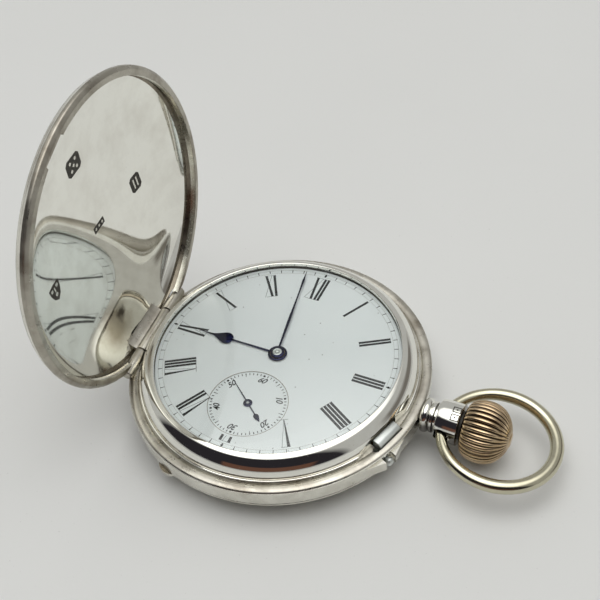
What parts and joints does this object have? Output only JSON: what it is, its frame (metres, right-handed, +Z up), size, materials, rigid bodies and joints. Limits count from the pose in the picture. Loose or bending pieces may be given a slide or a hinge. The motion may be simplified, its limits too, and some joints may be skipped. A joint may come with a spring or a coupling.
{
  "type": "hunter pocket watch",
  "caption": "Silver hunter pocket watch with a spring-open front lid, enamel dial with subsidiary seconds, ribbed gold crown, bow, hinged back and a keyless lever movement.",
  "frame": {"origin": "centre of the small flat on the back cover that the watch lies on", "axes": "+Z up out of the dial, +X towards the crown (3 o'clock), +Y towards 12 o'clock; the lid hinge is on the -X side"},
  "size_m": [0.0792, 0.0536, 0.0582],
  "materials": {
    "silver": "polished silver with fine handling scratches and warm tarnish in the corners",
    "nickel_wire": "polished wire, faintly yellow",
    "gold": "polished gold-coloured ribs, darkened in the grooves",
    "gilt_brass": "frosted gilding",
    "wheel_brass": "fine-grained polished brass",
    "steel": "polished and grained steel",
    "blued_steel": "heat-blued, polished",
    "enamel": "white vitreous enamel, glossy",
    "crystal_glass": "clear domed glass",
    "ruby": "polished red jewel"
  },
  "bodies": {
    "case": {"case_band": "silver", "bezel": "silver", "crystal": "crystal_glass", "pendant": "silver", "lid_hinge_pin": "steel", "back_hinge_pin": "steel", "cuvette_hinge_pin": "steel", "lid_fly_spring": "blued_steel", "main_plate": "gilt_brass", "top_plate": "gilt_brass", "balance_cock": "gilt_brass", "pallet_cock": "gilt_brass", "plate_screw_1": "blued_steel", "plate_screw_2": "blued_steel", "plate_screw_3": "blued_steel", "cock_screw": "blued_steel", "balance_jewel": "ruby", "crown_wheel_screw": "steel", "dial": "enamel"},
    "front_lid": {"front_lid": "silver"},
    "back_cover": {"back_cover": "silver"},
    "cuvette": {"cuvette": "silver"},
    "bow": {"bow": "nickel_wire"},
    "stem_sleeve": {"stem_sleeve": "steel"},
    "crown": {"crown": "gold", "winding_stem": "steel"},
    "lock_spring": {"lock_spring": "steel"},
    "push_piece": {"push_piece": "steel"},
    "winding_pinion": {"winding_pinion": "steel"},
    "crown_wheel": {"crown_wheel": "steel"},
    "ratchet": {"ratchet_wheel": "steel", "ratchet_screw": "steel", "barrel_arbor": "steel"},
    "click": {"click": "steel"},
    "barrel": {"barrel_drum": "wheel_brass", "barrel_cover": "wheel_brass", "mainspring": "blued_steel"},
    "centre_wheel": {"centre_wheel": "wheel_brass", "centre_arbor": "steel"},
    "third_wheel": {"third_wheel": "wheel_brass", "third_pinion": "steel"},
    "fourth_wheel": {"fourth_wheel": "wheel_brass", "fourth_arbor": "steel", "seconds_hand": "blued_steel"},
    "escape_wheel": {"escape_wheel": "steel", "escape_pinion": "steel"},
    "pallet_fork": {"pallet_fork": "steel", "pallet_arbor": "steel"},
    "balance": {"balance_wheel": "wheel_brass", "balance_staff": "steel", "hairspring": "blued_steel"},
    "minute_hand": {"cannon_pinion": "steel", "minute_hand": "blued_steel"},
    "minute_wheel": {"minute_wheel": "wheel_brass"},
    "hour_hand": {"hour_wheel": "wheel_brass", "hour_hand": "blued_steel"}
  },
  "joints": [
    {"name": "lid_hinge", "type": "hinge", "parent": "case", "child": "front_lid", "pos_m": [-0.02383, -0.00179, 0.00845], "axis": [0.075, -0.9972, 0], "range_deg": [-91.2, 0], "stiffness_Nm_per_rad": 0.002, "springref_deg": 20.05},
    {"name": "back_cover_hinge", "type": "hinge", "parent": "case", "child": "back_cover", "pos_m": [0, 0.0239, 0.00375], "axis": [1, 0, 0], "range_deg": [0, 100]},
    {"name": "cuvette_hinge", "type": "hinge", "parent": "case", "child": "cuvette", "pos_m": [0, 0.0212, 0.00385], "axis": [1, 0, 0], "range_deg": [0, 80]},
    {"name": "bow_swivel", "type": "hinge", "parent": "case", "child": "bow", "pos_m": [0.0299, 0, 0.006], "axis": [0, -1, 0], "range_deg": [-90, 90]},
    {"name": "crown_push", "type": "slide", "parent": "case", "child": "stem_sleeve", "axis": [1, 0, 0], "range_m": [-0.0005, 0], "stiffness_N_per_m": 400, "springref_m": 0.001},
    {"name": "crown_turn", "type": "hinge", "parent": "stem_sleeve", "child": "crown", "pos_m": [0.033, 0, 0.006], "axis": [1, 0, 0], "continuous": true},
    {"name": "catch_release", "type": "slide", "parent": "case", "child": "lock_spring", "axis": [0.95, -0.3123, 0], "range_m": [-0.00045, 0]},
    {"name": "push_piece_press", "type": "slide", "parent": "case", "child": "push_piece", "axis": [0.9171, -0.3987, 0], "range_m": [-0.0005, 0], "stiffness_N_per_m": 200, "springref_m": 0.0005},
    {"name": "winding_pinion_turn", "type": "hinge", "parent": "case", "child": "winding_pinion", "pos_m": [0.0166, 0, 0.006], "axis": [1, 0, 0], "continuous": true},
    {"name": "crown_wheel_turn", "type": "hinge", "parent": "case", "child": "crown_wheel", "pos_m": [0.0122, 0, 0.006], "axis": [0, 0, 1], "continuous": true},
    {"name": "ratchet_turn", "type": "hinge", "parent": "case", "child": "ratchet", "pos_m": [0.00549, 0.00655, 0.006], "axis": [0, 0, 1], "continuous": true},
    {"name": "click_lift", "type": "hinge", "parent": "case", "child": "click", "pos_m": [0.00174, 0.01255, 0.0036], "axis": [0, 0, -1], "range_deg": [0, 10], "stiffness_Nm_per_rad": 0.000002, "springref_deg": -5.73},
    {"name": "barrel_turn", "type": "hinge", "parent": "case", "child": "barrel", "pos_m": [0.00549, 0.00655, 0.006], "axis": [0, 0, 1], "continuous": true},
    {"name": "centre_wheel_turn", "type": "hinge", "parent": "case", "child": "centre_wheel", "pos_m": [0, 0, 0.006], "axis": [0, 0, 1], "continuous": true},
    {"name": "third_wheel_turn", "type": "hinge", "parent": "case", "child": "third_wheel", "pos_m": [0.00164, -0.00627, 0.006], "axis": [0, 0, 1], "continuous": true},
    {"name": "seconds_hand_turn", "type": "hinge", "parent": "case", "child": "fourth_wheel", "pos_m": [0, -0.0111, 0.006], "axis": [0, 0, 1], "continuous": true},
    {"name": "escape_wheel_turn", "type": "hinge", "parent": "case", "child": "escape_wheel", "pos_m": [-0.00398, -0.00965, 0.006], "axis": [0, 0, 1], "continuous": true},
    {"name": "pallet_rock", "type": "hinge", "parent": "case", "child": "pallet_fork", "pos_m": [-0.00709, -0.00722, 0.0064], "axis": [0, 0, 1], "range_deg": [-4, 4]},
    {"name": "balance_swing", "type": "hinge", "parent": "case", "child": "balance", "pos_m": [-0.0105, -0.004, 0.0044], "axis": [0, 0, 1], "range_deg": [-270, 270], "stiffness_Nm_per_rad": 0.000005},
    {"name": "minute_hand_turn", "type": "hinge", "parent": "case", "child": "minute_hand", "pos_m": [0, 0, 0.009], "axis": [0, 0, 1], "continuous": true},
    {"name": "minute_wheel_turn", "type": "hinge", "parent": "case", "child": "minute_wheel", "pos_m": [0.00262, 0.00184, 0.009], "axis": [0, 0, 1], "continuous": true},
    {"name": "hour_hand_turn", "type": "hinge", "parent": "case", "child": "hour_hand", "pos_m": [0, 0, 0.009], "axis": [0, 0, 1], "continuous": true}
  ],
  "couplings": [
    {"joint": "cuvette_hinge", "follows": "back_cover_hinge", "ratio": 0.8},
    {"joint": "catch_release", "follows": "crown_push", "ratio": 0.9},
    {"joint": "winding_pinion_turn", "follows": "crown_turn", "ratio": 1},
    {"joint": "crown_wheel_turn", "follows": "crown_turn", "ratio": 0.46875},
    {"joint": "ratchet_turn", "follows": "crown_turn", "ratio": -0.34884},
    {"joint": "escape_wheel_turn", "follows": "seconds_hand_turn", "ratio": -10},
    {"joint": "third_wheel_turn", "follows": "seconds_hand_turn", "ratio": -0.13333},
    {"joint": "centre_wheel_turn", "follows": "seconds_hand_turn", "ratio": 0.016667},
    {"joint": "barrel_turn", "follows": "seconds_hand_turn", "ratio": -0.0020833},
    {"joint": "minute_wheel_turn", "follows": "minute_hand_turn", "ratio": -0.33333},
    {"joint": "hour_hand_turn", "follows": "minute_hand_turn", "ratio": 0.083333}
  ]
}
